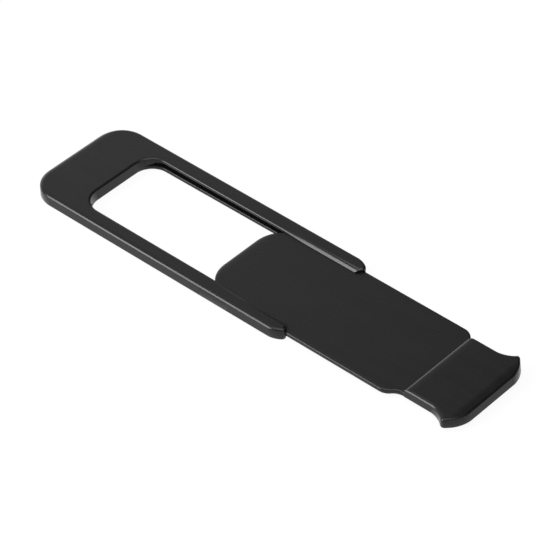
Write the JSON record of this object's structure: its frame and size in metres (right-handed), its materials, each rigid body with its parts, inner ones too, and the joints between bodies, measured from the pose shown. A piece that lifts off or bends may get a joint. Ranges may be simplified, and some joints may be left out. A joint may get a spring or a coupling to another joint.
{
  "type": "webcam cover slider",
  "caption": "Stick-on sliding webcam cover: a thin U-shaped frame with grooved legs round a lens window, and a flat shutter that slides along them by a raised, flared pull tab.",
  "frame": {"origin": "centre of the lens window as the open shutter leaves it, on the adhesive face that sticks to the screen", "axes": "+X from the frame's closed end along its legs to the pull tab, +Z away from the screen, +Y across the frame"},
  "size_m": [0.0527, 0.013, 0.0015],
  "materials": {
    "black_abs": "satin black ABS, as moulded, with soft rounded edges",
    "black_tape": "black double-sided acrylic tape, tacky and slightly glossy"
  },
  "bodies": {
    "base": {"frame": "black_abs", "adhesive_tape": "black_tape"},
    "slider": {"shutter": "black_abs"}
  },
  "joints": [
    {"name": "shutter_slide", "type": "slide", "parent": "base", "child": "slider", "axis": [1, 0, 0], "range_m": [-0.0162, 0]}
  ]
}
